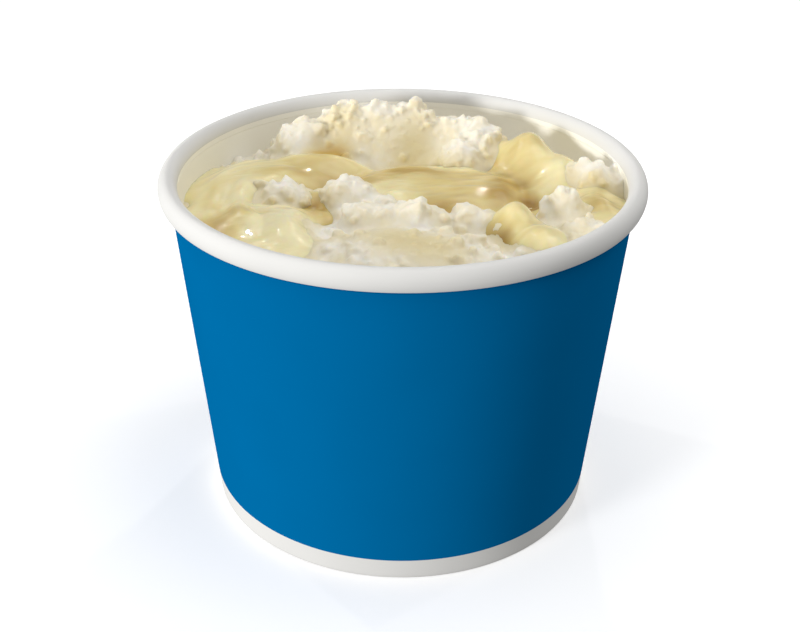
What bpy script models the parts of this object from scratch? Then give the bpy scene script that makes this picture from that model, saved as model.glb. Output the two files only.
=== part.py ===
"""Mashed potato with gravy in a round paper food cup.

The cup is two pieces of coated board: a tapered sidewall, rolled outwards at
the rim and hemmed inwards at the foot, and a bottom disc whose flange is held
in that hem. The mashed potato fills the cup up to an uneven, mounded top, and
the gravy is a poured layer that lies in the hollows and over some mounds. A
second, smaller lobe of gravy lies apart from it, at the front right.

Units are metres, +Z is up, and the origin is the centre of the foot.
"""

import math

import bmesh
import bpy

MM = 0.001

# Cup, in millimetres
RIM_RADIUS = 48.5
CUP_HEIGHT = 72.0
CURL_HALF_WIDTH = 1.9
CURL_HALF_HEIGHT = 2.4
CURL_START = 180.0
CURL_END = -150.0
CURL_LIP = 12.0
NECK_DROP = 3.4
WALL_RADIUS_UNDER_CURL = 46.2
FOOT_RADIUS = 40.4
BOARD = 0.5
GAP = 0.3
HEM_HEIGHT = 6.0
DISC_UNDERSIDE = 6.5
ROUND_STEPS = 54
CURL_STEPS = 9
MERGE_DISTANCE = 0.01

# Food, in millimetres
POTATO_CELL = 2.2
GRAVY_CELL = 2.4
POTATO_FORM_FLOOR = 2.0
GRAVY_FORM_FLOOR = 50.0
GRAVY_PLUG_FLOOR = 40.0
FORM_CEILING = 80.0
POTATO_LEVEL = 61.5
POOL_DEPTH = 2.0
POOL_CENTRE = (7.0, 6.0)
POOL_SIZE = (17.0, 11.0)
BLEND_POWER = 5.0
DOME_SHOULDER = 3
DOME_SKIRT = 1.5
GRAVY_SINK = 1.7
GRAVY_BUILD = 2.9
POOL_SHORE_DROP = 12.0
RUN_EDGE = 0.65
BARE_EDGE = 0.6
FORM_MARGIN = 1.0

# Each mound: centre x, centre y, top z, half length along x, half length along y, turn in degrees
MOUNDS = (
    (-8.0, 30.5, 71.0, 20.0, 10.0, -4.0),
    (2.5, 33.0, 73.2, 6.5, 7.5, 0.0),
    (-5.0, 31.5, 72.0, 6.0, 7.0, 0.0),
    (-13.0, 31.0, 72.6, 7.0, 7.0, 0.0),
    (-22.5, 27.0, 70.6, 7.5, 7.5, 0.0),
    (8.5, 31.5, 69.8, 6.5, 7.0, 0.0),
    (12.0, 22.0, 67.4, 6.5, 7.5, 0.0),
    (13.0, 31.5, 69.4, 8.0, 8.0, 0.0),
    (17.5, 27.5, 70.0, 7.5, 9.0, 0.0),
    (27.0, 21.0, 69.2, 7.5, 9.5, 0.0),
    (34.0, 14.0, 66.9, 8.0, 9.0, 0.0),
    (-30.0, 9.0, 65.4, 13.0, 16.0, 0.0),
    (-19.0, 18.0, 66.0, 14.0, 6.5, 5.0),
    (-23.5, 0.5, 67.0, 6.0, 6.5, -25.0),
    (-22.5, -15.0, 65.8, 8.5, 14.0, 12.0),
    (-31.0, -9.0, 64.6, 8.0, 9.0, 15.0),
    (-11.5, 1.0, 67.8, 7.5, 7.5, 0.0),
    (0.0, -27.0, 67.8, 24.0, 14.5, 0.0),
    (0.5, -13.0, 68.4, 15.0, 5.0, 4.0),
    (-8.0, -11.0, 67.6, 6.0, 4.5, 0.0),
    (3.5, -14.0, 68.9, 5.0, 4.5, 0.0),
    (13.5, -12.0, 69.0, 4.5, 4.5, 0.0),
    (-2.5, -4.0, 66.2, 5.0, 8.0, 20.0),
    (21.5, -14.5, 69.0, 6.5, 7.0, 0.0),
    (26.0, -23.5, 67.8, 6.5, 8.5, 20.0),
    (31.5, -7.5, 69.6, 5.8, 6.0, 0.0),
    (34.0, -19.0, 67.6, 8.5, 10.0, 30.0),
    (40.5, 8.0, 68.4, 7.0, 8.0, 0.0),
    (38.0, -7.0, 65.8, 8.0, 12.0, 0.0),
)

# Where the gravy was poured: centre x, centre y, half length along x, half length along y, turn
GRAVY_RUNS = (
    (-25.0, 13.5, 18.0, 8.5, 14.0),
    (-35.0, 9.0, 12.0, 18.0, -10.0),
    (-31.0, -14.0, 15.0, 13.0, -35.0),
    (-23.0, -22.0, 9.0, 14.0, 15.0),
    (-24.0, -9.5, 9.0, 10.0, 0.0),
    (-17.0, -1.0, 4.5, 10.0, 25.0),
    (-11.0, 14.5, 13.0, 8.0, -5.0),
    (27.5, 20.0, 10.0, 12.0, 0.0),
    (33.0, 12.0, 9.0, 10.0, 0.0),
    (24.5, 5.0, 9.0, 11.0, 0.0),
    (38.0, -4.0, 11.0, 14.0, 20.0),
    (21.5, -14.0, 7.5, 7.5, 0.0),
    (26.0, -22.0, 6.5, 10.0, 20.0),
)

# Hollows that the gravy fills to a level: the oval as above, then the level
POOLS = (
    (6.5, 8.0, 24.0, 16.0, 0.0, 65.2),
    (-37.0, -8.0, 13.0, 20.0, -15.0, 63.4),
)

# Where potato stands clear of the gravy
BARE_TOPS = (
    (-24.0, 0.0, 6.5, 5.0, -35.0),
    (-10.0, 0.5, 7.0, 8.5, 0.0),
    (31.5, -7.5, 6.0, 6.0, 0.0),
    (41.0, 9.0, 7.5, 7.0, 0.0),
)

POTATO_COLOUR = (0.86, 0.81, 0.62, 1.0)
GRAVY_COLOUR = (0.63, 0.49, 0.22, 1.0)
PRINT_BLUE = (0.0, 0.13, 0.35, 1.0)
BOARD_WHITE = (0.86, 0.86, 0.84, 1.0)
POTATO_ROUGHNESS = 0.6
GRAVY_ROUGHNESS = 0.15
PRINT_ROUGHNESS = 0.4
BOARD_ROUGHNESS = 0.6


def clear_scene():
    for item in list(bpy.data.objects):
        bpy.data.objects.remove(item)


def new_collection(name):
    group = bpy.data.collections.new(name)
    bpy.context.scene.collection.children.link(group)
    return group


def principled(name, colour, roughness):
    """A plain Principled material."""
    material = bpy.data.materials.new(name)
    material.use_nodes = True
    shader = material.node_tree.nodes["Principled BSDF"]
    shader.inputs["Base Color"].default_value = colour
    shader.inputs["Roughness"].default_value = roughness
    shader.inputs["Metallic"].default_value = 0.0
    return material


def wall_outside(height):
    """Outer radius of the sidewall at a height, in millimetres."""
    straight = CUP_HEIGHT - 2 * CURL_HALF_HEIGHT
    return FOOT_RADIUS + (WALL_RADIUS_UNDER_CURL - FOOT_RADIUS) * height / straight


def wall_inside(height):
    return wall_outside(height) - BOARD


def curl_arc(half_width, half_height, first, last):
    """Points on the rolled rim's oval section, from one angle to the other in degrees."""
    centre_radius = RIM_RADIUS - CURL_HALF_WIDTH
    centre_height = CUP_HEIGHT - CURL_HALF_HEIGHT
    points = []
    for step in range(CURL_STEPS + 1):
        angle = math.radians(first + (last - first) * step / CURL_STEPS)
        points.append(
            (
                centre_radius + half_width * math.cos(angle),
                centre_height + half_height * math.sin(angle),
            )
        )
    return points


def sidewall_profile():
    """Closed section of the sidewall: rolled rim, tapered wall and the hem at the foot."""
    outside = curl_arc(CURL_HALF_WIDTH, CURL_HALF_HEIGHT, CURL_START, CURL_END)
    inside_start = CURL_END + CURL_LIP
    inside = curl_arc(CURL_HALF_WIDTH - BOARD, CURL_HALF_HEIGHT - BOARD, inside_start, CURL_START)
    neck_height = CUP_HEIGHT - CURL_HALF_HEIGHT
    under_curl = neck_height - NECK_DROP
    hem_outer = wall_inside(BOARD) - 2 * GAP - BOARD
    hem_inner = hem_outer - BOARD
    neck = [(RIM_RADIUS - 2 * CURL_HALF_WIDTH + BOARD, neck_height)]
    wall = [
        (wall_outside(under_curl), under_curl),
        (wall_outside(HEM_HEIGHT), HEM_HEIGHT),
        (wall_outside(0.0), 0.0),
    ]
    hem = [
        (hem_inner, 0.0),
        (hem_inner, HEM_HEIGHT),
        (hem_outer, HEM_HEIGHT),
        (hem_outer, BOARD),
        (wall_inside(BOARD), BOARD),
    ]
    lining = [
        (wall_inside(HEM_HEIGHT), HEM_HEIGHT),
        (wall_inside(under_curl), under_curl),
    ]
    return outside + inside[:-1] + neck + wall + hem + lining


def turned(name, profile, closed, material, group):
    """Object turned about +Z from a section given in millimetres."""
    mesh = bpy.data.meshes.new(name)
    count = len(profile)
    edges = [(i, i + 1) for i in range(count - 1)]
    if closed:
        edges.append((count - 1, 0))
    points = [(radius * MM, 0.0, height * MM) for radius, height in profile]
    mesh.from_pydata(points, edges, [])
    piece = bpy.data.objects.new(name, mesh)
    group.objects.link(piece)
    screw = piece.modifiers.new("Turn", "SCREW")
    screw.steps = ROUND_STEPS
    screw.render_steps = ROUND_STEPS
    screw.use_merge_vertices = True
    screw.merge_threshold = MERGE_DISTANCE * MM
    screw.use_smooth_shade = True
    mesh.materials.append(material)
    return piece


def sidewall(group):
    board = principled("printed_board", PRINT_BLUE, PRINT_ROUGHNESS)
    return turned("cup_sidewall", sidewall_profile(), True, board, group)


def base_disc(group):
    """Bottom disc with its flange turned down into the hem."""
    board = principled("plain_board", BOARD_WHITE, BOARD_ROUGHNESS)
    top = DISC_UNDERSIDE + BOARD
    foot = BOARD + GAP
    profile = [
        (0.0, top),
        (wall_inside(top) - GAP, top),
        (wall_inside(foot) - GAP, foot),
        (wall_inside(foot) - GAP - BOARD, foot),
        (wall_inside(DISC_UNDERSIDE) - GAP - BOARD, DISC_UNDERSIDE),
        (0.0, DISC_UNDERSIDE),
    ]
    return turned("cup_base", profile, False, board, group)


def reach(x, y, spot):
    """How far a point lies from a turned oval's centre, as a share of its half lengths."""
    centre_x, centre_y, half_x, half_y, turn = spot
    angle = math.radians(turn)
    dx = x - centre_x
    dy = y - centre_y
    along = (dx * math.cos(angle) + dy * math.sin(angle)) / half_x
    across = (dy * math.cos(angle) - dx * math.sin(angle)) / half_y
    return math.hypot(along, across)


def dome(share):
    """1 at the centre of a mound, falling smoothly to 0 at its edge."""
    return (1.0 - min(share, 1.0) ** DOME_SHOULDER) ** DOME_SKIRT


def smooth_step(value, low, high):
    share = min(max((value - low) / (high - low), 0.0), 1.0)
    return share * share * (3.0 - 2.0 * share)


def potato_top(x, y):
    """Height of the mashed potato at a place, all in millimetres."""
    hollow = math.hypot((x - POOL_CENTRE[0]) / POOL_SIZE[0], (y - POOL_CENTRE[1]) / POOL_SIZE[1])
    level = POTATO_LEVEL - POOL_DEPTH * math.exp(-hollow * hollow)
    total = 0.0
    for centre_x, centre_y, top, half_x, half_y, turn in MOUNDS:
        share = reach(x, y, (centre_x, centre_y, half_x, half_y, turn))
        total += (max(top - level, 0.0) * dome(share)) ** BLEND_POWER
    return level + total ** (1.0 / BLEND_POWER)


def gravy_cover(x, y):
    """1 where the gravy lies thick, 0 where the potato is bare."""
    poured = max(1.0 - smooth_step(reach(x, y, run), RUN_EDGE, 1.0) for run in GRAVY_RUNS)
    bare = max(1.0 - smooth_step(reach(x, y, spot), BARE_EDGE, 1.0) for spot in BARE_TOPS)
    return poured * (1.0 - bare)


def pool_level(x, y, pool):
    """Level of a pool, dropping off steeply where its oval ends."""
    *oval, level = pool
    return level - POOL_SHORE_DROP * smooth_step(reach(x, y, oval), RUN_EDGE, 1.0)


def gravy_top(x, y):
    """Height of the gravy's surface. It is below the potato where there is no gravy."""
    draped = potato_top(x, y) - GRAVY_SINK + GRAVY_BUILD * gravy_cover(x, y)
    pooled = max(pool_level(x, y, pool) for pool in POOLS)
    return max(draped, pooled)


def relief_block(name, height_at, cell, floor):
    """Solid block whose top follows height_at and whose flat underside is at floor, in millimetres."""
    half = math.ceil((RIM_RADIUS + FORM_MARGIN) / cell) * cell
    cells = round(2 * half / cell)
    shape = bmesh.new()
    bmesh.ops.create_grid(shape, x_segments=cells, y_segments=cells, size=half * MM)
    underside = bmesh.ops.extrude_face_region(shape, geom=shape.faces[:])["geom"]
    lower = {vertex for vertex in underside if isinstance(vertex, bmesh.types.BMVert)}
    for vertex in shape.verts:
        if vertex in lower:
            vertex.co.z = floor * MM
        else:
            vertex.co.z = height_at(vertex.co.x / MM, vertex.co.y / MM) * MM
    bmesh.ops.triangulate(shape, faces=shape.faces[:])
    bmesh.ops.recalc_face_normals(shape, faces=shape.faces[:])
    mesh = bpy.data.meshes.new(name)
    shape.to_mesh(mesh)
    shape.free()
    return bpy.data.objects.new(name, mesh)


def lining_plug(name, floor, ceiling, clearance):
    """The cup's inner space between two heights, a clearance smaller all round."""
    shape = bmesh.new()
    bmesh.ops.create_cone(
        shape,
        cap_ends=True,
        segments=ROUND_STEPS,
        radius1=(wall_inside(floor) - clearance) * MM,
        radius2=(wall_inside(ceiling) - clearance) * MM,
        depth=(ceiling - floor) * MM,
    )
    bmesh.ops.translate(shape, verts=shape.verts, vec=(0.0, 0.0, (floor + ceiling) / 2 * MM))
    mesh = bpy.data.meshes.new(name)
    shape.to_mesh(mesh)
    shape.free()
    return bpy.data.objects.new(name, mesh)


def as_helper(piece, helpers):
    """A cutter or a guide, left out of the model."""
    helpers.objects.link(piece)
    piece.hide_render = True
    piece.display_type = "WIRE"
    return piece


def combine(piece, other, operation):
    """Booleans other into piece's mesh, and keeps the result as plain mesh."""
    cut = piece.modifiers.new(operation.title(), "BOOLEAN")
    cut.operation = operation
    cut.object = other
    bpy.context.view_layer.update()
    graph = bpy.context.evaluated_depsgraph_get()
    result = bpy.data.meshes.new_from_object(piece.evaluated_get(graph))
    piece.modifiers.remove(cut)
    piece.data = result


def keep_island(mesh, rank):
    """Keeps one of the bodies that a liquid layer splits into, counted from the largest as 0."""
    shape = bmesh.new()
    shape.from_mesh(mesh)
    islands = []
    unseen = set(shape.verts)
    while unseen:
        island = set()
        front = [next(iter(unseen))]
        while front:
            vertex = front.pop()
            if vertex in island:
                continue
            island.add(vertex)
            front.extend(edge.other_vert(vertex) for edge in vertex.link_edges)
        unseen -= island
        islands.append(island)
    islands.sort(key=len, reverse=True)
    kept = islands[rank]
    bmesh.ops.delete(shape, geom=[vertex for vertex in shape.verts if vertex not in kept], context="VERTS")
    shape.to_mesh(mesh)
    shape.free()


def dress(piece, material):
    piece.data.materials.clear()
    piece.data.materials.append(material)
    piece.data.shade_smooth()


def mashed_potato(group, helpers):
    floor = DISC_UNDERSIDE + BOARD + GAP
    piece = relief_block("mashed_potato", potato_top, POTATO_CELL, POTATO_FORM_FLOOR)
    group.objects.link(piece)
    plug = as_helper(lining_plug("potato_form", floor, FORM_CEILING, GAP), helpers)
    combine(piece, plug, "INTERSECT")
    dress(piece, principled("mashed_potato", POTATO_COLOUR, POTATO_ROUGHNESS))
    return piece


def gravy(group, helpers):
    """The poured layer, and the lobe that lies apart from it."""
    layer = relief_block("gravy", gravy_top, GRAVY_CELL, GRAVY_FORM_FLOOR)
    group.objects.link(layer)
    plug = as_helper(lining_plug("gravy_form", GRAVY_PLUG_FLOOR, FORM_CEILING, GAP), helpers)
    bed = relief_block("gravy_bed", lambda x, y: potato_top(x, y) + GAP, POTATO_CELL, POTATO_FORM_FLOOR)
    as_helper(bed, helpers)
    combine(layer, bed, "DIFFERENCE")
    combine(layer, plug, "INTERSECT")
    lobe = bpy.data.objects.new("gravy_lobe", layer.data.copy())
    group.objects.link(lobe)
    material = principled("gravy", GRAVY_COLOUR, GRAVY_ROUGHNESS)
    for rank, piece in enumerate((layer, lobe)):
        keep_island(piece.data, rank)
        dress(piece, material)


def main():
    clear_scene()
    group = new_collection("mashed_potato_cup")
    helpers = new_collection("forms")
    sidewall(group)
    base_disc(group)
    mashed_potato(group, helpers)
    gravy(group, helpers)


main()
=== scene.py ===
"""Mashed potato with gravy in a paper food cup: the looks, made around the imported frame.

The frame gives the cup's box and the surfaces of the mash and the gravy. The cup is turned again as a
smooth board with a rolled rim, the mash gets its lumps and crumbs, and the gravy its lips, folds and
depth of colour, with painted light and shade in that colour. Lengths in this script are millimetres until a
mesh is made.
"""

import math

import bmesh
import bpy
import numpy as np
from mathutils import Matrix, Vector, noise
from mathutils.bvhtree import BVHTree


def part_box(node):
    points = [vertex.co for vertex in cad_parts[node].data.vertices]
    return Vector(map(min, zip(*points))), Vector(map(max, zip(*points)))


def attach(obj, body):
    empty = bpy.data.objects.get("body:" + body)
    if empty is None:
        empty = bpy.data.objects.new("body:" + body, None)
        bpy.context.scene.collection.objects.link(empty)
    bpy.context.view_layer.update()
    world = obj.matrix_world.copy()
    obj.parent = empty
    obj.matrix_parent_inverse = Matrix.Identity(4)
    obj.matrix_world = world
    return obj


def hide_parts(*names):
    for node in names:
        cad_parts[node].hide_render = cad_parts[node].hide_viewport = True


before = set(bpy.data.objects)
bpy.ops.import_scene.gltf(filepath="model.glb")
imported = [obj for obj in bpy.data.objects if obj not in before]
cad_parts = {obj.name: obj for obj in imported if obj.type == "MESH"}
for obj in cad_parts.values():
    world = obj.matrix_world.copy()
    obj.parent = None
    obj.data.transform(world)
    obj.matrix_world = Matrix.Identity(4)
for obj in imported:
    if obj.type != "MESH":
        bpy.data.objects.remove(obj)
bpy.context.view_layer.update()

MM = 0.001
BODY = "root"

# The cup
side_low, side_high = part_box("cup_sidewall")
base_low, base_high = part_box("cup_base")
food_low, food_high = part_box("mashed_potato")
RIM_RADIUS = side_high.x / MM
CUP_HEIGHT = side_high.z / MM
DISC_TOP = base_high.z / MM
FOOD_FLOOR = food_low.z / MM
BOARD = 0.5
GAP = 0.3
FOOT_RADIUS = 40.4
WALL_RADIUS_UNDER_CURL = 46.2
CURL_HALF_WIDTH = 1.9
CURL_HALF_HEIGHT = 2.4
CURL_START = 180.0
CURL_END = -150.0
CURL_LIP = 12.0
NECK_DROP = 3.4
HEM_HEIGHT = 6.0
FOOT_BAND = 4.6
FOOT_ROUND = 0.18
SEAM_ANGLE = 97.0
SEAM_STEP = 0.28
SEAM_FADE = 9.0
PRINT_OVER_CURL = 1.6
DISC_PLAY = 0.05
SHARP_ANGLE = 40.0
BARE_BOARD, PRINTED_BOARD, LINED_BOARD = 0, 1, 2
ROUND_STEPS = 240
CURL_STEPS = 28

# The food
CELL = 0.5
VOXEL = 0.42
GRID_HALF = 48.0
FACET_BLUR = 1.3
INTO_WALL = 0.12
EDGE_HEIGHT = 60.0
EDGE_CLEARANCE = 0.9
COVER_BLUR = 1.4
DEPTH_BLUR = 1.6
SLAB_FLOOR = 54.0
BLOCK_TOP = 57.0
BLOCK_WIDTH = 104
FORM_TOP = 82.0


def colour(code):
    """Linear colour of an sRGB hex code."""
    shares = [int(code[place : place + 2], 16) / 255 for place in (1, 3, 5)]
    return (*[s / 12.92 if s <= 0.04045 else ((s + 0.055) / 1.055) ** 2.4 for s in shares], 1.0)


def add_node(tree, kind, inputs=None, **settings):
    """Adds a node with its settings. A socket given as an input is linked, anything else is its value."""
    node = tree.nodes.new(kind)
    for name, value in settings.items():
        setattr(node, name, value)
    for key, value in (inputs or {}).items():
        if isinstance(value, bpy.types.NodeSocket):
            tree.links.new(value, node.inputs[key])
        else:
            node.inputs[key].default_value = value
    return node


def new_material(name):
    material = bpy.data.materials.new(name)
    material.use_nodes = True
    material.node_tree.nodes.clear()
    return material, material.node_tree


def finish_material(tree, shader):
    add_node(tree, "ShaderNodeOutputMaterial", {"Surface": shader.outputs["BSDF"]})


def new_object(name, mesh):
    piece = bpy.data.objects.new(name, mesh)
    bpy.context.scene.collection.objects.link(piece)
    return piece


# ---------------------------------------------------------------- camera, floor and light

CAMERA_PLACE = (0.0, -233.53, 164.85)
CAMERA_AIM = (0.0, 0.0, 35.94)
CAMERA_LENS = 56.25
CAMERA_SHIFT = (-0.0021, 0.0069)
CAMERA_ROLL = 0.47
FLOOR_RADIUS = 3000.0
FLOOR_GLOW = 0.24
ROOM_LIGHT = 0.35

# Studio lights: name, place, aim, width across, power in watts
LIGHTS = (
    ("side_softbox", (-1150, -950, 220), (0, 0, 40), 420, 19.5),
    ("left_softbox", (-420, 60, 1200), (0, 0, 50), 2000, 5.4),
    ("right_softbox", (650, -60, 1050), (0, 0, 50), 1300, 5.1),
    ("left_glint_lamp", (-330, 260, 420), (0, 0, 65), 12, 0.2),
    ("back_glint_lamp", (90, 400, 520), (0, 0, 65), 12, 0.25),
    ("right_glint_lamp", (450, 260, 400), (0, 0, 65), 12, 0.2),
)


def make_camera():
    data = bpy.data.cameras.new("camera")
    data.sensor_width = 36.0
    data.lens = CAMERA_LENS
    data.shift_x, data.shift_y = CAMERA_SHIFT
    data.clip_start = 0.01
    data.clip_end = 20.0
    camera = new_object("camera", data)
    place = Vector(CAMERA_PLACE) * MM
    look = Vector(CAMERA_AIM) * MM - place
    facing = look.to_track_quat("-Z", "Y").to_matrix().to_4x4()
    roll = Matrix.Rotation(math.radians(CAMERA_ROLL), 4, "Z")
    camera.matrix_world = Matrix.Translation(place) @ (facing @ roll)
    bpy.context.scene.camera = camera


def add_light(name, place, aim, size, power):
    """A round soft white light. Its place, aim and size are in millimetres."""
    data = bpy.data.lights.new(name, "AREA")
    data.shape = "DISK"
    data.size = size * MM
    data.energy = power
    light = new_object(name, data)
    place = Vector(place) * MM
    look = Vector(aim) * MM - place
    facing = look.to_track_quat("-Z", "Y").to_matrix().to_4x4()
    light.matrix_world = Matrix.Translation(place) @ facing


def make_stage():
    """A plain white floor, a soft white room and studio lights."""
    mesh = bpy.data.meshes.new("floor")
    shape = bmesh.new()
    bmesh.ops.create_circle(shape, cap_ends=True, segments=96, radius=FLOOR_RADIUS * MM)
    shape.to_mesh(mesh)
    shape.free()
    floor = new_object("floor", mesh)
    material, tree = new_material("white_sweep")
    shader = add_node(
        tree,
        "ShaderNodeBsdfPrincipled",
        {
            "Base Color": colour("#FAFAFA"),
            "Roughness": 0.8,
            "Emission Color": colour("#FFFFFF"),
            "Emission Strength": FLOOR_GLOW,
        },
    )
    finish_material(tree, shader)
    mesh.materials.append(material)
    floor.visible_diffuse = False

    world = bpy.data.worlds.new("studio")
    world.use_nodes = True
    world.node_tree.nodes["Background"].inputs["Color"].default_value = colour("#FFFFFF")
    world.node_tree.nodes["Background"].inputs["Strength"].default_value = ROOM_LIGHT
    bpy.context.scene.world = world
    bpy.context.scene.view_settings.view_transform = "Standard"

    for light in LIGHTS:
        add_light(*light)


# ---------------------------------------------------------------- the board cup


def wall_outside(height):
    straight = CUP_HEIGHT - 2 * CURL_HALF_HEIGHT
    return FOOT_RADIUS + (WALL_RADIUS_UNDER_CURL - FOOT_RADIUS) * height / straight


def wall_inside(height):
    return wall_outside(height) - BOARD


def arc(centre, radii, first, last, steps):
    """Points on an oval, from one angle to another in degrees."""
    turns = [math.radians(first + (last - first) * step / steps) for step in range(steps + 1)]
    return [(centre[0] + radii[0] * math.cos(t), centre[1] + radii[1] * math.sin(t)) for t in turns]


def sidewall_profile():
    """Closed section of the sidewall, with the index of the first and last point of the print."""
    neck_height = CUP_HEIGHT - CURL_HALF_HEIGHT
    centre = (RIM_RADIUS - CURL_HALF_WIDTH, neck_height)
    outside = arc(centre, (CURL_HALF_WIDTH, CURL_HALF_HEIGHT), CURL_START, CURL_END, CURL_STEPS)
    inner_radii = (CURL_HALF_WIDTH - BOARD, CURL_HALF_HEIGHT - BOARD)
    inside = arc(centre, inner_radii, CURL_END + CURL_LIP, CURL_START, CURL_STEPS)
    under_curl = neck_height - NECK_DROP
    hem_outer = wall_inside(BOARD) - 2 * GAP - BOARD
    hem_inner = hem_outer - BOARD
    print_top = under_curl + PRINT_OVER_CURL
    wall = [(wall_outside(under_curl) - 0.12, print_top)]
    wall += [(wall_outside(z), z) for z in (under_curl, 50.0, 30.0, 15.0, FOOT_BAND)]
    first = len(outside) + len(inside) - 1
    last = first + len(wall) - 1
    foot = [(wall_outside(z), z) for z in (2.5, 1.0, FOOT_ROUND)]
    round_radii = (FOOT_ROUND, FOOT_ROUND)
    foot += arc((wall_outside(0.0) - FOOT_ROUND, FOOT_ROUND), round_radii, 0.0, -90.0, 3)[1:]
    foot += arc((hem_inner + FOOT_ROUND, FOOT_ROUND), round_radii, -90.0, -180.0, 3)
    hem = [(hem_inner, HEM_HEIGHT), (hem_outer, HEM_HEIGHT), (hem_outer, BOARD)]
    hem.append((wall_inside(BOARD), BOARD))
    lining = [(wall_inside(z), z) for z in (HEM_HEIGHT, 20.0, 40.0, under_curl)]
    return outside + inside[:-1] + wall + foot + hem + lining, first, last


def turned_mesh(name, profile, closed):
    """A section in millimetres turned about +Z, merged and facing outwards."""
    shape = bmesh.new()
    ring = [shape.verts.new((radius * MM, 0.0, height * MM)) for radius, height in profile]
    edges = [shape.edges.new(pair) for pair in zip(ring, ring[1:])]
    if closed:
        edges.append(shape.edges.new((ring[-1], ring[0])))
    bmesh.ops.spin(
        shape,
        geom=ring + edges,
        cent=(0, 0, 0),
        axis=(0, 0, 1),
        angle=2 * math.pi,
        steps=ROUND_STEPS,
        use_merge=True,
    )
    bmesh.ops.remove_doubles(shape, verts=shape.verts, dist=0.00001)
    bmesh.ops.recalc_face_normals(shape, faces=shape.faces)
    mesh = bpy.data.meshes.new(name)
    shape.to_mesh(mesh)
    shape.free()
    return mesh


def lap_seam(mesh):
    """The lapped side seam at the back: one edge of the board lies over the other."""
    column = 360.0 / ROUND_STEPS
    for vertex in mesh.vertices:
        height = vertex.co.z / MM
        radius = math.hypot(vertex.co.x, vertex.co.y) / MM
        if height > CUP_HEIGHT - CURL_HALF_HEIGHT - NECK_DROP or radius < wall_outside(height) - 0.1:
            continue
        turn = math.degrees(math.atan2(vertex.co.y, vertex.co.x)) - SEAM_ANGLE
        if -1.01 * column < turn < -0.01 * column:
            turn = -0.1 * column
        lift = SEAM_STEP * (1.0 - turn / SEAM_FADE) if 0.0 <= turn < SEAM_FADE else 0.0
        angle = math.radians(turn + SEAM_ANGLE)
        vertex.co.x = (radius + lift) * math.cos(angle) * MM
        vertex.co.y = (radius + lift) * math.sin(angle) * MM


def board_material(name, base, roughness):
    """Coated paperboard: a smooth clay coating that shows its fibres only as a faint orange peel.

    Real fibres are about 0.03 mm across. They are drawn at 0.9 mm, as coarse as they need to be to show.
    """
    material, tree = new_material(name)
    place = add_node(tree, "ShaderNodeTexCoord").outputs["Object"]
    fibre = add_node(tree, "ShaderNodeTexNoise", {"Vector": place, "Scale": 1 / (0.9 * MM), "Detail": 3.0})
    sag = add_node(tree, "ShaderNodeTexNoise", {"Vector": place, "Scale": 1 / (14 * MM), "Detail": 1.0})
    tone = add_node(
        tree,
        "ShaderNodeHueSaturation",
        {
            "Color": colour(base),
            "Value": add_node(
                tree,
                "ShaderNodeMapRange",
                {"Value": sag.outputs["Fac"], "To Min": 0.965, "To Max": 1.035},
            ).outputs["Result"],
        },
    )
    gloss = add_node(
        tree,
        "ShaderNodeMapRange",
        {"Value": fibre.outputs["Fac"], "To Min": roughness - 0.05, "To Max": roughness + 0.05},
    )
    bump = add_node(
        tree,
        "ShaderNodeBump",
        {"Height": fibre.outputs["Fac"], "Strength": 0.12, "Distance": 0.05 * MM},
    )
    shader = add_node(
        tree,
        "ShaderNodeBsdfPrincipled",
        {
            "Base Color": tone.outputs["Color"],
            "Roughness": gloss.outputs["Result"],
            "Normal": bump.outputs["Normal"],
            "IOR": 1.5,
            "Specular IOR Level": 0.0,
        },
    )
    finish_material(tree, shader)
    return material


def make_wall(white_board, print_blue, lining):
    """The sidewall: bare board at the curl and foot, print outside and a coated lining inside."""
    profile, first, last = sidewall_profile()
    mesh = turned_mesh("cup_wall_board", profile, True)
    for finish in (white_board, print_blue, lining):
        mesh.materials.append(finish)
    print_top = profile[first][1]
    print_foot = profile[last][1]
    for face in mesh.polygons:
        centre = face.center
        height = centre.z / MM
        radius = math.hypot(centre.x, centre.y) / MM
        looks_out = face.normal.x * centre.x + face.normal.y * centre.y > 0
        outer = looks_out and radius > wall_outside(height) - 0.2
        inner = radius < wall_inside(height) + 0.1 and height < CUP_HEIGHT - CURL_HALF_HEIGHT
        if outer and print_foot < height < print_top:
            face.material_index = PRINTED_BOARD
        else:
            face.material_index = LINED_BOARD if inner else BARE_BOARD
    lap_seam(mesh)
    mesh.shade_smooth()
    mesh.set_sharp_from_angle(angle=math.radians(SHARP_ANGLE))
    wall = new_object("cup_wall_board", mesh)
    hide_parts("cup_sidewall")
    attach(wall, BODY)


def make_bottom(white_board):
    """The bottom disc, with its flange turned down into the hem."""
    under = DISC_TOP - BOARD
    foot = BOARD + GAP
    flange = wall_inside(foot) - DISC_PLAY
    profile = [
        (0.0, DISC_TOP),
        (wall_inside(DISC_TOP) - DISC_PLAY, DISC_TOP),
        (flange, foot),
        (flange - BOARD, foot),
        (wall_inside(under) - 0.8 - BOARD, under - 0.4),
        (wall_inside(under) - 1.4 - BOARD, under),
        (0.0, under),
    ]
    mesh = turned_mesh("cup_bottom_board", profile, False)
    mesh.materials.append(white_board)
    mesh.shade_smooth()
    mesh.set_sharp_from_angle(angle=math.radians(SHARP_ANGLE))
    base = new_object("cup_bottom_board", mesh)
    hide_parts("cup_base")
    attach(base, BODY)


def make_cup():
    print_blue = board_material("blue_offset_print_on_board", "#00639A", 0.5)
    white_board = board_material("white_coated_board", "#DAD9D6", 0.5)
    lining = board_material("white_coated_lining", "#F6F4EC", 0.4)
    make_wall(white_board, print_blue, lining)
    make_bottom(white_board)


# ---------------------------------------------------------------- height fields

AXIS = np.arange(-GRID_HALF, GRID_HALF + CELL / 2, CELL)
GRID_X, GRID_Y = np.meshgrid(AXIS, AXIS, indexing="ij")
GRID_R = np.hypot(GRID_X, GRID_Y)


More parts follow.
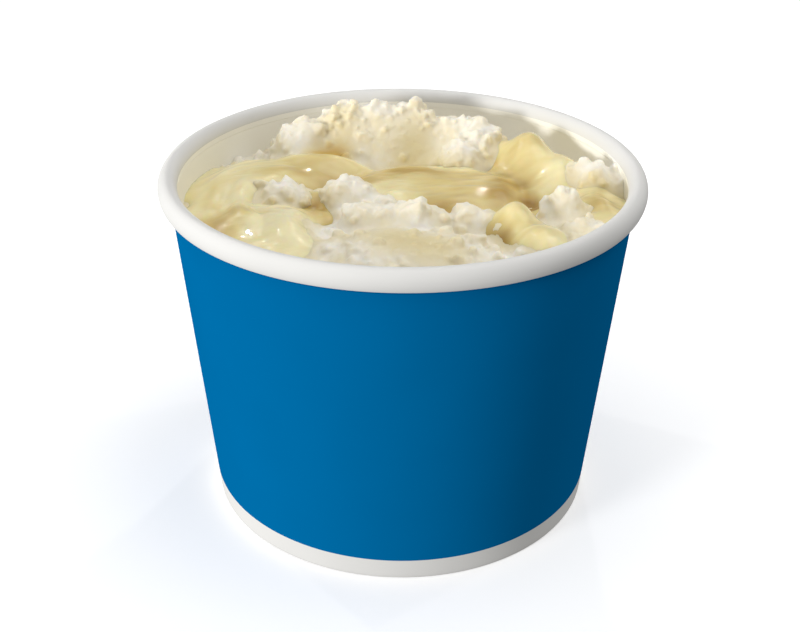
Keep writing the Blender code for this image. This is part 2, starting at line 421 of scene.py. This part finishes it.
def blur(field, reach):
    """Gaussian blur of a grid over a reach in millimetres."""
    half = int(math.ceil(3 * reach / CELL))
    weights = np.exp(-0.5 * (np.arange(-half, half + 1) * CELL / reach) ** 2)
    weights /= weights.sum()
    for turn in (0, 1):
        margins = [(half, half) if turn == side else (0, 0) for side in (0, 1)]
        padded = np.pad(field, margins, mode="edge")
        total = np.zeros_like(field)
        for step, weight in enumerate(weights):
            if turn == 0:
                total += weight * padded[step : step + field.shape[0], :]
            else:
                total += weight * padded[:, step : step + field.shape[1]]
        field = total
    return field


def smooth_step(value, low, high):
    share = np.clip((value - low) / (high - low), 0.0, 1.0)
    return share * share * (3.0 - 2.0 * share)


def soft_max(first, second, width):
    """The higher of two fields, rounded where they cross."""
    spread = (first - second) / width
    return np.maximum(first, second) + width * np.log1p(np.exp(-np.abs(spread)))


def ray_tree(names):
    """Ray-casting tree of some frame nodes, in millimetres."""
    points = []
    faces = []
    for name in names:
        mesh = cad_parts[name].data
        start = len(points)
        points += [vertex.co / MM for vertex in mesh.vertices]
        faces += [[start + corner for corner in face.vertices] for face in mesh.polygons]
    return BVHTree.FromPolygons(points, faces)


def surface_from_above(tree, edge_radius):
    """Height of the highest surface over each grid point, and NaN where there is none."""
    pull = np.minimum(1.0, edge_radius / np.maximum(GRID_R, 0.001))
    heights = np.full(GRID_X.shape, np.nan)
    for i, j in np.ndindex(GRID_X.shape):
        start = Vector((GRID_X[i, j] * pull[i, j], GRID_Y[i, j] * pull[i, j], 100.0))
        place = tree.ray_cast(start, Vector((0.0, 0.0, -1.0)))[0]
        if place is not None:
            heights[i, j] = place.z
    return heights


def at_points(field, points):
    """Field value under each point, read between grid points. Points are in millimetres."""
    place = np.clip((points[:, :2] + GRID_HALF) / CELL, 0, len(AXIS) - 1.001)
    low = place.astype(int)
    share = place - low
    i, j = low[:, 0], low[:, 1]
    u, v = share[:, 0], share[:, 1]
    near = field[i, j] * (1 - v) + field[i, j + 1] * v
    far = field[i + 1, j] * (1 - v) + field[i + 1, j + 1] * v
    return near * (1 - u) + far * u


def ovals(table):
    """Sum of soft turned ovals: centre x, centre y, half length, half width, turn in degrees, height."""
    total = np.zeros_like(GRID_X)
    for x, y, half_x, half_y, turn, height in table:
        angle = math.radians(turn)
        dx, dy = GRID_X - x, GRID_Y - y
        along = (dx * math.cos(angle) + dy * math.sin(angle)) / half_x
        across = (dy * math.cos(angle) - dx * math.sin(angle)) / half_y
        share = np.clip(1.0 - along**2 - across**2, 0.0, 1.0)
        total += height * share**1.5
    return total


EDGE_RADIUS = wall_inside(EDGE_HEIGHT) - EDGE_CLEARANCE
mash_base = blur(surface_from_above(ray_tree(["mashed_potato"]), EDGE_RADIUS), FACET_BLUR)
gravy_raw = surface_from_above(ray_tree(["gravy", "gravy_lobe"]), EDGE_RADIUS)
gravy_mask = (~np.isnan(gravy_raw)).astype(float)
gravy_cover = blur(gravy_mask, COVER_BLUR)
gravy_depth = blur(np.where(gravy_mask > 0, np.nan_to_num(gravy_raw) - mash_base, 0.0), DEPTH_BLUR)


def lift_mesh(name, heights, floor, keep):
    """Closed block of the grid cells that keep marks: its top at heights, its flat underside at floor."""
    count = len(AXIS)
    index = np.arange(count * count).reshape(count, count)
    cells = keep[:-1, :-1] & keep[1:, :-1] & keep[1:, 1:] & keep[:-1, 1:]
    a, b = index[:-1, :-1][cells], index[1:, :-1][cells]
    c, d = index[1:, 1:][cells], index[:-1, 1:][cells]
    top = np.stack([a, b, c, d], axis=1)
    used, packed = np.unique(top, return_inverse=True)
    packed = packed.reshape(top.shape)
    total = len(used)
    x, y = GRID_X.ravel()[used], GRID_Y.ravel()[used]
    upper = np.stack([x, y, heights.ravel()[used]], axis=1)
    lower = np.stack([x, y, np.broadcast_to(floor, GRID_X.shape).ravel()[used]], axis=1)
    sides = {}
    for quad in packed:
        for start, end in zip(quad, np.roll(quad, -1)):
            if (end, start) in sides:
                del sides[(end, start)]
            else:
                sides[(start, end)] = True
    walls = [(end, start, start + total, end + total) for start, end in sides]
    faces = [tuple(quad) for quad in packed]
    faces += [tuple(quad[::-1] + total) for quad in packed] + walls
    mesh = bpy.data.meshes.new(name)
    places = (np.concatenate([upper, lower]) * MM).tolist()
    mesh.from_pydata(places, [], [tuple(map(int, face)) for face in faces])
    mesh.update()
    return mesh


def applied(piece):
    """Replaces a piece's mesh with its evaluated one, and clears its modifiers."""
    graph = bpy.context.evaluated_depsgraph_get()
    mesh = bpy.data.meshes.new_from_object(piece.evaluated_get(graph))
    piece.modifiers.clear()
    old = piece.data
    piece.data = mesh
    bpy.data.meshes.remove(old)
    mesh.name = piece.name


def cut(piece, other, operation):
    boolean = piece.modifiers.new(operation, "BOOLEAN")
    boolean.operation = operation
    boolean.solver = "MANIFOLD"
    boolean.object = other
    applied(piece)


def inner_form(floor, ceiling):
    """The cup's inner space, reaching just into the board."""
    shape = bmesh.new()
    bmesh.ops.create_cone(
        shape,
        cap_ends=True,
        segments=ROUND_STEPS,
        radius1=(wall_inside(floor) + INTO_WALL) * MM,
        radius2=(wall_inside(ceiling) + INTO_WALL) * MM,
        depth=(ceiling - floor) * MM,
    )
    bmesh.ops.translate(shape, verts=shape.verts, vec=(0.0, 0.0, (floor + ceiling) / 2 * MM))
    mesh = bpy.data.meshes.new("inner_form")
    shape.to_mesh(mesh)
    shape.free()
    return new_object("inner_form", mesh)


def set_field(mesh, name, values):
    layer = mesh.attributes.new(name, "FLOAT", "POINT")
    layer.data.foreach_set("value", np.asarray(values, dtype=np.float32))


def mesh_points(mesh):
    flat = np.empty(len(mesh.vertices) * 3)
    mesh.vertices.foreach_get("co", flat)
    return flat.reshape(-1, 3) / MM


# ---------------------------------------------------------------- the mash


LUMP_SMOOTHNESS = 0.1
LUMP_RIM = 0.45


def run_tree(piece, tree, values):
    """Runs a Geometry Nodes tree on a piece with named inputs, and keeps the result as plain mesh."""
    modifier = piece.modifiers.new(tree.name, "NODES")
    modifier.node_group = tree
    for item in tree.interface.items_tree:
        if item.item_type == "SOCKET" and item.in_out == "INPUT" and item.name in values:
            modifier[item.identifier] = values[item.name]
    applied(piece)


def new_tree(name, inputs):
    """A Geometry Nodes tree with a geometry input and output and named number inputs."""
    tree = bpy.data.node_groups.new(name, "GeometryNodeTree")
    tree.is_modifier = True
    tree.interface.new_socket("Geometry", in_out="INPUT", socket_type="NodeSocketGeometry")
    for socket in inputs:
        kind = "NodeSocketInt" if socket == "Seed" else "NodeSocketFloat"
        tree.interface.new_socket(socket, in_out="INPUT", socket_type=kind)
    tree.interface.new_socket("Geometry", in_out="OUTPUT", socket_type="NodeSocketGeometry")
    start = add_node(tree, "NodeGroupInput")
    return tree, start.outputs


def math_node(tree, operation, *values):
    return add_node(tree, "ShaderNodeMath", dict(enumerate(values)), operation=operation).outputs[0]


def lump_layer(tree, place, size, height, seed, distance="EUCLIDEAN"):
    """Rounded lumps with creases between them, like the curds of broken-up mash."""
    cells = add_node(
        tree,
        "ShaderNodeTexVoronoi",
        {
            "Vector": place,
            "W": seed,
            "Scale": math_node(tree, "DIVIDE", 1.0, size),
            "Smoothness": LUMP_SMOOTHNESS,
        },
        voronoi_dimensions="4D",
        feature="SMOOTH_F1",
        distance=distance,
    )
    square = math_node(tree, "MULTIPLY", cells.outputs["Distance"], cells.outputs["Distance"])
    dome = math_node(tree, "SUBTRACT", LUMP_RIM, square)
    return math_node(tree, "MULTIPLY", dome, height)


def relief_tree():
    """Lumpy relief pushed out along the normals, then crumbs strewn where the mash broke."""
    names = ["Big lump size", "Big lump height", "Lump size", "Lump height", "Curd size", "Curd height"]
    names += ["Crumb spacing", "Crumb radius", "Seed"]
    tree, given = new_tree("broken_mash", names)
    place = add_node(tree, "GeometryNodeInputPosition").outputs[0]
    wobble = add_node(tree, "ShaderNodeTexNoise", {"Vector": place, "Scale": 1 / (7 * MM), "Detail": 2.0})
    shift = add_node(
        tree,
        "ShaderNodeVectorMath",
        {0: wobble.outputs["Color"], 1: (0.5, 0.5, 0.5)},
        operation="SUBTRACT",
    )
    shift = add_node(tree, "ShaderNodeVectorMath", {0: shift.outputs[0], "Scale": 5 * MM}, operation="SCALE")
    warped = add_node(tree, "ShaderNodeVectorMath", {0: place, 1: shift.outputs[0]}, operation="ADD")
    warped = warped.outputs[0]
    broken = add_node(tree, "GeometryNodeInputNamedAttribute", {"Name": "broken"}, data_type="FLOAT")
    broken = broken.outputs[0]
    big = lump_layer(tree, warped, given["Big lump size"], given["Big lump height"], 1.0)
    middle = lump_layer(tree, warped, given["Lump size"], given["Lump height"], 2.0, "CHEBYCHEV")
    small = lump_layer(tree, warped, given["Curd size"], given["Curd height"], 3.0)
    total = math_node(tree, "ADD", math_node(tree, "ADD", big, middle), small)
    rise = math_node(tree, "MULTIPLY", total, broken)
    normal = add_node(tree, "GeometryNodeInputNormal").outputs[0]
    push = add_node(tree, "ShaderNodeVectorMath", {0: normal, "Scale": rise}, operation="SCALE").outputs[0]
    lumpy = add_node(
        tree,
        "GeometryNodeSetPosition",
        {
            "Geometry": given["Geometry"],
            "Offset": push,
            "Selection": add_node(
                tree,
                "FunctionNodeCompare",
                {0: broken, 1: 0.001},
                data_type="FLOAT",
                operation="GREATER_THAN",
            ).outputs[0],
        },
    ).outputs[0]

    density = add_node(tree, "GeometryNodeInputNamedAttribute", {"Name": "crumbs"}, data_type="FLOAT")
    density = density.outputs[0]
    crumb_area = math_node(tree, "MULTIPLY", given["Crumb spacing"], given["Crumb spacing"])
    per_area = math_node(tree, "DIVIDE", 1.0, crumb_area)
    spots = add_node(
        tree,
        "GeometryNodeDistributePointsOnFaces",
        {
            "Mesh": lumpy,
            "Density": math_node(tree, "MULTIPLY", per_area, density),
            "Seed": given["Seed"],
        },
    )
    ball = add_node(tree, "GeometryNodeMeshIcoSphere", {"Radius": 1.0, "Subdivisions": 3}).outputs[0]
    dents = add_node(tree, "ShaderNodeTexNoise", {"Scale": 1.1, "Detail": 2.0}).outputs["Fac"]
    rugged = add_node(
        tree,
        "ShaderNodeVectorMath",
        {
            0: add_node(tree, "GeometryNodeInputNormal").outputs[0],
            "Scale": math_node(tree, "MULTIPLY", math_node(tree, "SUBTRACT", dents, 0.5), 1.5),
        },
        operation="SCALE",
    )
    crumb = add_node(tree, "GeometryNodeSetPosition", {"Geometry": ball, "Offset": rugged.outputs[0]})
    chance = add_node(
        tree,
        "FunctionNodeRandomValue",
        {2: 0.0, 3: 1.0, "Seed": 7},
        data_type="FLOAT",
    ).outputs[1]
    size = math_node(tree, "ADD", 0.4, math_node(tree, "POWER", chance, 3.0))
    size = math_node(tree, "MULTIPLY", size, given["Crumb radius"])
    stretch = add_node(
        tree,
        "FunctionNodeRandomValue",
        {0: (0.7, 0.7, 0.7), 1: (1.3, 1.3, 1.3), "Seed": 8},
        data_type="FLOAT_VECTOR",
    ).outputs[0]
    scale = add_node(tree, "ShaderNodeVectorMath", {0: stretch, "Scale": size}, operation="SCALE").outputs[0]
    spin = add_node(
        tree,
        "FunctionNodeRandomValue",
        {0: (0.0, 0.0, 0.0), 1: (6.28, 6.28, 6.28), "Seed": 9},
        data_type="FLOAT_VECTOR",
    ).outputs[0]
    strewn = add_node(
        tree,
        "GeometryNodeInstanceOnPoints",
        {
            "Points": spots.outputs["Points"],
            "Instance": crumb.outputs[0],
            "Rotation": spin,
            "Scale": scale,
        },
    ).outputs[0]
    loose = add_node(tree, "GeometryNodeRealizeInstances", {"Geometry": strewn}).outputs[0]
    both = add_node(tree, "GeometryNodeJoinGeometry")
    tree.links.new(loose, both.inputs[0])
    tree.links.new(lumpy, both.inputs[0])
    dressed = add_node(
        tree,
        "GeometryNodeSetMaterial",
        {"Geometry": both.outputs[0], "Material": bpy.data.materials["mashed_potato"]},
    )
    add_node(tree, "NodeGroupOutput", {0: dressed.outputs[0]})
    return tree


def grain_tree():
    """The mealy grain of riced potato, after the lumps and crumbs have run together.

    Real potato cells are about 0.2 mm. The grain is drawn coarser than that, so that it shows.
    """
    tree, given = new_tree("mealy_grain", ["Grain size", "Grain height"])
    place = add_node(tree, "GeometryNodeInputPosition").outputs[0]
    fine = add_node(
        tree,
        "ShaderNodeTexNoise",
        {"Vector": place, "Scale": math_node(tree, "DIVIDE", 1.0, given["Grain size"]), "Detail": 3.0},
    ).outputs["Fac"]
    rise = math_node(tree, "MULTIPLY", math_node(tree, "SUBTRACT", fine, 0.5), given["Grain height"])
    normal = add_node(tree, "GeometryNodeInputNormal").outputs[0]
    push = add_node(tree, "ShaderNodeVectorMath", {0: normal, "Scale": rise}, operation="SCALE").outputs[0]
    moved = add_node(tree, "GeometryNodeSetPosition", {"Geometry": given["Geometry"], "Offset": push})
    dressed = add_node(
        tree,
        "GeometryNodeSetMaterial",
        {"Geometry": moved.outputs[0], "Material": bpy.data.materials["mashed_potato"]},
    )
    add_node(tree, "NodeGroupOutput", {0: dressed.outputs[0]})
    return tree


def mash_material():
    """Buttery mashed potato: moist and mealy, so light goes a millimetre or two in and comes out warm."""
    material, tree = new_material("mashed_potato")
    place = add_node(tree, "ShaderNodeTexCoord").outputs["Object"]
    glaze = add_node(tree, "ShaderNodeAttribute", attribute_name="glaze").outputs["Fac"]
    cloud = add_node(tree, "ShaderNodeTexNoise", {"Vector": place, "Scale": 1 / (6 * MM), "Detail": 3.0})
    grain = add_node(tree, "ShaderNodeTexNoise", {"Vector": place, "Scale": 1 / (0.5 * MM), "Detail": 3.0})
    butter = add_node(
        tree,
        "ShaderNodeMapRange",
        {"Value": cloud.outputs["Fac"], "From Min": 0.35, "From Max": 0.7},
    )
    plain = add_node(
        tree,
        "ShaderNodeMix",
        {0: butter.outputs["Result"], 6: colour("#F0ECE2"), 7: colour("#E7DDC0")},
        data_type="RGBA",
    ).outputs[2]
    thin = add_node(tree, "ShaderNodeMapRange", {"Value": glaze, "From Max": 0.6}).outputs["Result"]
    thick = add_node(tree, "ShaderNodeMapRange", {"Value": glaze, "From Min": 0.6}).outputs["Result"]
    coat = add_node(
        tree,
        "ShaderNodeMix",
        {0: thin, 6: plain, 7: colour("#DDCFA4")},
        data_type="RGBA",
    ).outputs[2]
    coat = add_node(
        tree,
        "ShaderNodeMix",
        {0: thick, 6: coat, 7: colour("#CDAB5E")},
        data_type="RGBA",
    ).outputs[2]
    wet = add_node(tree, "ShaderNodeMapRange", {"Value": glaze, "To Min": 0.52, "To Max": 0.2})
    bump = add_node(
        tree,
        "ShaderNodeBump",
        {"Height": grain.outputs["Fac"], "Strength": 0.25, "Distance": 0.15 * MM},
    )
    shader = add_node(
        tree,
        "ShaderNodeBsdfPrincipled",
        {
            "Base Color": coat,
            "Roughness": wet.outputs["Result"],
            "Normal": bump.outputs["Normal"],
            "IOR": 1.38,
            "Subsurface Weight": 0.6,
            "Subsurface Radius": (1.0, 0.85, 0.6),
            "Subsurface Scale": 0.9 * MM,
        },
    )
    finish_material(tree, shader)


# Thin gravy that has only wetted the mash: centre x, centre y, half length, half width, turn, strength
GLAZE_SPOTS = (
    (4.0, -29.0, 12.0, 9.0, 0.0, 0.65),
    (-6.0, -23.0, 11.0, 9.0, 0.0, 0.4),
    (-16.0, 21.5, 7.0, 4.0, 5.0, 0.95),
    (-13.0, 26.5, 10.0, 6.5, 0.0, 0.45),
    (2.5, 24.0, 9.5, 9.0, 0.0, 0.6),
    (31.0, -16.0, 5.0, 6.0, 0.0, 0.25),
    (40.0, 4.0, 5.0, 4.0, 0.0, 0.15),
)

# Bigger crumbs that hang on the heap: x, y, radius
CHUNKS = (
    (2.5, 32.5, 1.7), (-0.5, 33.0, 1.1), (-4.5, 31.5, 1.3), (-8.0, 31.0, 1.0), (-11.0, 31.5, 1.4),
    (-15.0, 30.0, 1.1), (-18.0, 29.5, 1.0), (-22.0, 28.5, 1.3), (-25.5, 27.0, 1.1), (-28.5, 25.0, 1.2),
    (-31.5, 26.5, 1.6), (6.0, 31.5, 1.1), (9.5, 30.0, 1.0), (13.0, 30.5, 1.2), (17.0, 28.5, 1.4),
    (20.5, 27.5, 1.1), (16.0, 24.0, 1.2), (12.0, 25.5, 1.1), (-10.0, -7.5, 1.4), (-4.5, -9.0, 1.1),
    (0.0, -10.5, 1.5), (3.5, -12.5, 1.2), (8.0, -14.0, 1.1), (11.0, -10.0, 1.5), (14.0, -7.5, 1.6),
    (16.5, -10.5, 1.3), (-14.5, 5.0, 1.4), (-10.5, 6.5, 1.6), (-7.5, 3.0, 1.3), (-12.5, -1.5, 1.4),
    (-7.0, -3.5, 1.2), (-23.5, 3.5, 1.4), (-26.5, 1.5, 1.1), (-19.5, -2.0, 1.3), (-16.5, -6.0, 1.2),
    (29.5, -2.5, 1.6), (32.5, -4.5, 1.4), (33.0, -9.0, 1.3), (37.0, 9.0, 1.4), (40.0, 5.5, 1.3),
    (36.0, -13.0, 1.1), (8.0, -22.0, 1.4), (14.0, -22.5, 1.5), (10.0, -27.0, 1.2),
    (-12.0, -20.0, 1.3), (-14.0, -14.0, 1.2), (17.5, -28.0, 1.2),
)


def add_chunks(mesh, heights):
    """Rough balls of mash sunk partly into the heap."""
    shape = bmesh.new()
    shape.from_mesh(mesh)
    for x, y, radius in CHUNKS:
        base = at_points(heights, np.array([[x, y, 0.0]]))[0]
        centre = Vector((x, y, base + 0.5))
        ball = bmesh.ops.create_icosphere(shape, subdivisions=3, radius=1.0)["verts"]
        for vertex in ball:
            way = vertex.co.copy()
            rough = 1.0 + 0.55 * noise.noise(way * 1.3 + centre)
            rough += 0.25 * noise.noise(way * 3.1 + centre)
            vertex.co = (centre + way * radius * rough) * MM
    shape.to_mesh(mesh)
    shape.free()


def lower_block():
    """A block wider than the cup that fills it below the relief."""
    shape = bmesh.new()
    bmesh.ops.create_cube(shape, size=1.0)
    depth = BLOCK_TOP - FOOD_FLOOR + 2.0
    bmesh.ops.scale(shape, verts=shape.verts, vec=(BLOCK_WIDTH * MM, BLOCK_WIDTH * MM, depth * MM))
    bmesh.ops.translate(shape, verts=shape.verts, vec=(0, 0, (BLOCK_TOP - depth / 2) * MM))
    mesh = bpy.data.meshes.new("lower_block")
    shape.to_mesh(mesh)
    shape.free()
    return new_object("lower_block", mesh)


def make_mash():
    """The heap of mash: chunks and relief on the frame's surface, run together and cut to the cup."""
    mash_material()
    bare = 1.0 - smooth_step(gravy_cover, 0.45, 0.75)
    crest = smooth_step(mash_base - blur(mash_base, 5.0), -0.6, 1.4)
    inside = GRID_R < GRID_HALF - 1.0
    slab = new_object("mash_heap", lift_mesh("mash_heap", mash_base, SLAB_FLOOR, inside))
    points = mesh_points(slab.data)
    top = points[:, 2] > SLAB_FLOOR + 0.1
    stained = np.clip(1.4 * ovals(GLAZE_SPOTS), 0.0, 1.0)
    roughness = (0.5 + 0.5 * bare * crest) * (1.0 - 0.6 * stained)
    scatter = bare * (0.15 + 0.85 * crest**2) * (1.0 - 0.9 * stained)
    set_field(slab.data, "broken", np.where(top, at_points(roughness, points), 0.0))
    set_field(slab.data, "crumbs", np.where(top, at_points(scatter, points), 0.0))
    add_chunks(slab.data, mash_base)
    run_tree(
        slab,
        relief_tree(),
        {
            "Big lump size": 7.5 * MM,
            "Big lump height": 1.6 * MM,
            "Lump size": 3.6 * MM,
            "Lump height": 1.3 * MM,
            "Curd size": 1.4 * MM,
            "Curd height": 0.5 * MM,
            "Crumb spacing": 1.5 * MM,
            "Crumb radius": 0.9 * MM,
            "Seed": 3,
        },
    )
    remesh = slab.modifiers.new("run_together", "REMESH")
    remesh.mode = "VOXEL"
    remesh.voxel_size = VOXEL * MM
    applied(slab)
    run_tree(slab, grain_tree(), {"Grain size": 0.9 * MM, "Grain height": 0.22 * MM})
    block = lower_block()
    form = inner_form(FOOD_FLOOR, FORM_TOP)
    cut(slab, block, "UNION")
    cut(slab, form, "INTERSECT")
    for helper in (block, form):
        bpy.data.objects.remove(helper)
    points = mesh_points(slab.data)
    near_gravy = smooth_step(blur(gravy_mask, 2.2), 0.08, 0.6)
    glaze = np.clip(ovals(GLAZE_SPOTS) + 0.4 * near_gravy, 0.0, 1.0)
    set_field(slab.data, "glaze", at_points(glaze, points))
    slab.data.materials.clear()
    slab.data.materials.append(bpy.data.materials["mashed_potato"])
    slab.data.shade_smooth()
    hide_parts("mashed_potato")
    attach(slab, BODY)
    return slab


# ---------------------------------------------------------------- the gravy

# Folds and grooves in the poured gravy: centre x, centre y, half length, half width, turn, height
GRAVY_FOLDS = (
    (3.0, 14.0, 14.0, 3.0, -12.0, 0.5),
    (7.0, 9.5, 14.0, 2.4, -14.0, 0.4),
    (-1.0, 1.5, 3.5, 6.5, -25.0, 0.7),
    (13.0, 4.5, 11.0, 2.2, -6.0, 0.4),
    (-32.5, -1.0, 2.8, 7.0, 8.0, 0.9),
    (-30.5, -11.0, 2.8, 6.5, 32.0, 0.9),
    (-36.5, -4.0, 2.4, 8.0, 12.0, -0.6),
    (-24.0, 11.0, 12.0, 2.6, 12.0, 0.5),
    (-22.0, 6.5, 11.0, 2.2, 14.0, -0.4),
    (-21.0, -20.0, 3.0, 9.0, 14.0, 0.6),
    (-26.0, -19.0, 2.2, 8.0, 16.0, -0.4),
    (27.0, 22.0, 4.0, 7.0, 20.0, 0.5),
    (26.5, 2.5, 2.8, 5.0, -10.0, -1.0),
    (39.0, -4.0, 3.0, 9.0, 12.0, 0.5),
    (19.0, -19.0, 2.0, 6.0, 20.0, -0.3),
)

# Where the gravy's colour is darker (above 0) for deeper gravy and painted shade where little light falls,
# and lighter (below 0) for thinner gravy and painted light on lit tops: ovals as above
GRAVY_DEPTH_AND_PAINTED_LIGHT = (
    (-15.0, 12.0, 13.0, 10.0, -20.0, 0.45),
    (-25.0, 9.0, 7.0, 8.0, 0.0, 0.2),
    (-17.0, -3.0, 4.5, 10.0, 20.0, 0.5),
    (-36.0, -14.0, 7.0, 14.0, -25.0, 0.5),
    (-31.0, -4.0, 4.0, 9.0, 15.0, -0.2),
    (-20.0, -18.0, 7.0, 13.0, 10.0, -0.3),
    (6.0, -4.0, 13.0, 5.0, 0.0, 0.35),
    (2.0, 13.5, 11.0, 3.5, 0.0, 0.25),
    (1.0, 4.0, 13.0, 7.5, 10.0, -0.3),
    (22.0, 4.0, 7.0, 10.0, 0.0, 0.5),
    (26.5, 2.0, 3.5, 7.0, 0.0, 0.7),
    (24.0, 11.0, 7.0, 6.0, 0.0, 0.3),
    (27.0, 20.0, 10.0, 11.0, 0.0, 0.2),
    (18.0, -20.0, 3.5, 7.0, 20.0, 0.5),
    (24.0, -16.0, 9.0, 13.0, 0.0, 0.2),
    (38.0, -5.0, 7.0, 11.0, 0.0, 0.25),
)

# Thicknesses and reaches of the gravy over the mash
FILM_DEPTH = 0.35
FILM_BLUR = 0.8
POOL_DROP = 0.4
HOLLOW_FILL = 0.5
HOLLOW_BLUR = 3.5
STREAK_RISE = 0.3
LIP_SINK = 1.2
UNDER_GRAVY = 2.5

SWIRL_CENTRE = (-21.0, -4.0)
SWIRL_TURNS = 1.3
POOL_STREAK_TURN = 12.0
STREAK_LENGTH = 15.0
STREAK_WIDTH = 5.5


def gravy_material():
    """Thick pale poultry gravy: glossy and a little cloudy, cream where thin and amber where it pools, with
    painted shade and light carried in its tone.
    """
    material, tree = new_material("poured_gravy")
    place = add_node(tree, "ShaderNodeTexCoord").outputs["Object"]
    tone = add_node(tree, "ShaderNodeAttribute", attribute_name="tone").outputs["Fac"]
    stretch = add_node(tree, "ShaderNodeMapping", {"Vector": place, "Scale": (0.45, 1.3, 1.0)})
    stretch.inputs["Rotation"].default_value = (0.0, 0.0, math.radians(14))
    streak = add_node(
        tree,
        "ShaderNodeTexNoise",
        {"Vector": stretch.outputs[0], "Scale": 1 / (4 * MM), "Detail": 4.0, "Distortion": 0.6},
    ).outputs["Fac"]
    swing = add_node(tree, "ShaderNodeMapRange", {"Value": streak, "To Min": -0.1, "To Max": 0.1})
    shade = math_node(tree, "ADD", tone, swing.outputs["Result"])
    # The tone colours the gravy by its depth, with painted shade in hollows and painted light and shade from
    # the listed ovals.
    ramp = add_node(tree, "ShaderNodeValToRGB", {"Fac": shade})
    stops = ramp.color_ramp.elements
    stops[0].position, stops[0].color = 0.0, colour("#F3E8BA")
    stops[1].position, stops[1].color = 1.0, colour("#9C7524")
    for place_on_ramp, code in ((0.25, "#E5D598"), (0.5, "#D2BB78"), (0.75, "#BA9A4E")):
        stop = stops.new(place_on_ramp)
        stop.color = colour(code)
    ripple = add_node(tree, "ShaderNodeBump", {"Height": streak, "Strength": 0.35, "Distance": 0.5 * MM})
    shader = add_node(
        tree,
        "ShaderNodeBsdfPrincipled",
        {
            "Base Color": ramp.outputs["Color"],
            "Roughness": 0.3,
            "Normal": ripple.outputs["Normal"],
            "IOR": 1.38,
            "Subsurface Weight": 0.5,
            "Subsurface Radius": (1.0, 0.6, 0.22),
            "Subsurface Scale": 1.4 * MM,
            "Coat Weight": 0.7,
            "Coat Roughness": 0.035,
        },
    )
    finish_material(tree, shader)
    return material


def flow_field():
    """Streaks of the pour, about -1 to 1: round the left swirl, and lengthwise in the middle pool."""
    dx, dy = GRID_X - SWIRL_CENTRE[0], GRID_Y - SWIRL_CENTRE[1]
    radius = np.maximum(np.hypot(dx, dy), 0.001)
    across_swirl = radius / STREAK_WIDTH
    swirl_x = dx / radius * SWIRL_TURNS
    swirl_y = dy / radius * SWIRL_TURNS
    turn = math.radians(POOL_STREAK_TURN)
    along_pool = (GRID_X * math.cos(turn) + GRID_Y * math.sin(turn)) / STREAK_LENGTH
    across_pool = (GRID_Y * math.cos(turn) - GRID_X * math.sin(turn)) / STREAK_WIDTH
    side = smooth_step(GRID_X, -12.0, -4.0)
    field = np.zeros_like(GRID_X)
    for i, j in np.ndindex(GRID_X.shape):
        swirl = noise.fractal(Vector((swirl_x[i, j], swirl_y[i, j], across_swirl[i, j])), 0.6, 2.0, 3)
        pool = noise.fractal(Vector((along_pool[i, j], across_pool[i, j], 9.0)), 0.6, 2.0, 3)
        field[i, j] = swirl * (1.0 - side[i, j]) + pool * side[i, j]
    return field


def lumpy_surface(mash):
    """Height of the finished mash over the grid, which the gravy lies on."""
    faces = [tuple(face.vertices) for face in mash.data.polygons]
    tree = BVHTree.FromPolygons([vertex.co / MM for vertex in mash.data.vertices], faces)
    heights = surface_from_above(tree, EDGE_RADIUS)
    return np.where(np.isnan(heights), mash_base, heights)


def make_gravy(mash):
    """Both bodies of gravy, draped over the finished mash, with rounded lips and a colour from its depth,
    with painted shade in its hollows and painted light and shade in listed ovals.
    """
    material = gravy_material()
    lip = np.sqrt(np.clip((gravy_cover - 0.36) / 0.6, 0.0, 1.0))
    lumpy = lumpy_surface(mash)
    thin = blur(lumpy, FILM_BLUR) + FILM_DEPTH
    pooled = mash_base + gravy_depth - POOL_DROP
    filled = blur(mash_base, HOLLOW_BLUR) + HOLLOW_FILL
    flow = flow_field()
    body = soft_max(soft_max(thin, pooled, 0.4), filled, 0.5) + STREAK_RISE * flow + ovals(GRAVY_FOLDS)
    top = lip * body + (1.0 - lip) * (np.minimum(lumpy, mash_base) - LIP_SINK)
    keep = (gravy_cover > 0.3) & (GRID_R < GRID_HALF)
    piece = new_object("poured_gravy", lift_mesh("poured_gravy", top, mash_base - UNDER_GRAVY, keep))
    form = inner_form(40.0, FORM_TOP)
    cut(piece, form, "INTERSECT")
    bpy.data.objects.remove(form)
    points = mesh_points(piece.data)
    depth = smooth_step(top - lumpy, 0.4, 4.5)
    # The tone darkens with the gravy's depth, and in its hollows both for deeper gravy and as painted shade;
    # the listed ovals add painted light and shade as well as depth.
    hollow_depth_and_shade = smooth_step(blur(np.maximum(top, mash_base), HOLLOW_BLUR) - top, 0.0, 2.2)
    tone = np.clip(0.08 + 0.35 * depth + 0.25 * hollow_depth_and_shade + ovals(GRAVY_DEPTH_AND_PAINTED_LIGHT) - 0.2 * flow, 0.0, 1.0)
    set_field(piece.data, "tone", at_points(tone, points))
    piece.data.materials.clear()
    piece.data.materials.append(material)
    piece.data.shade_smooth()
    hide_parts("gravy", "gravy_lobe")
    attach(piece, BODY)


make_camera()
make_stage()
make_cup()
make_gravy(make_mash())
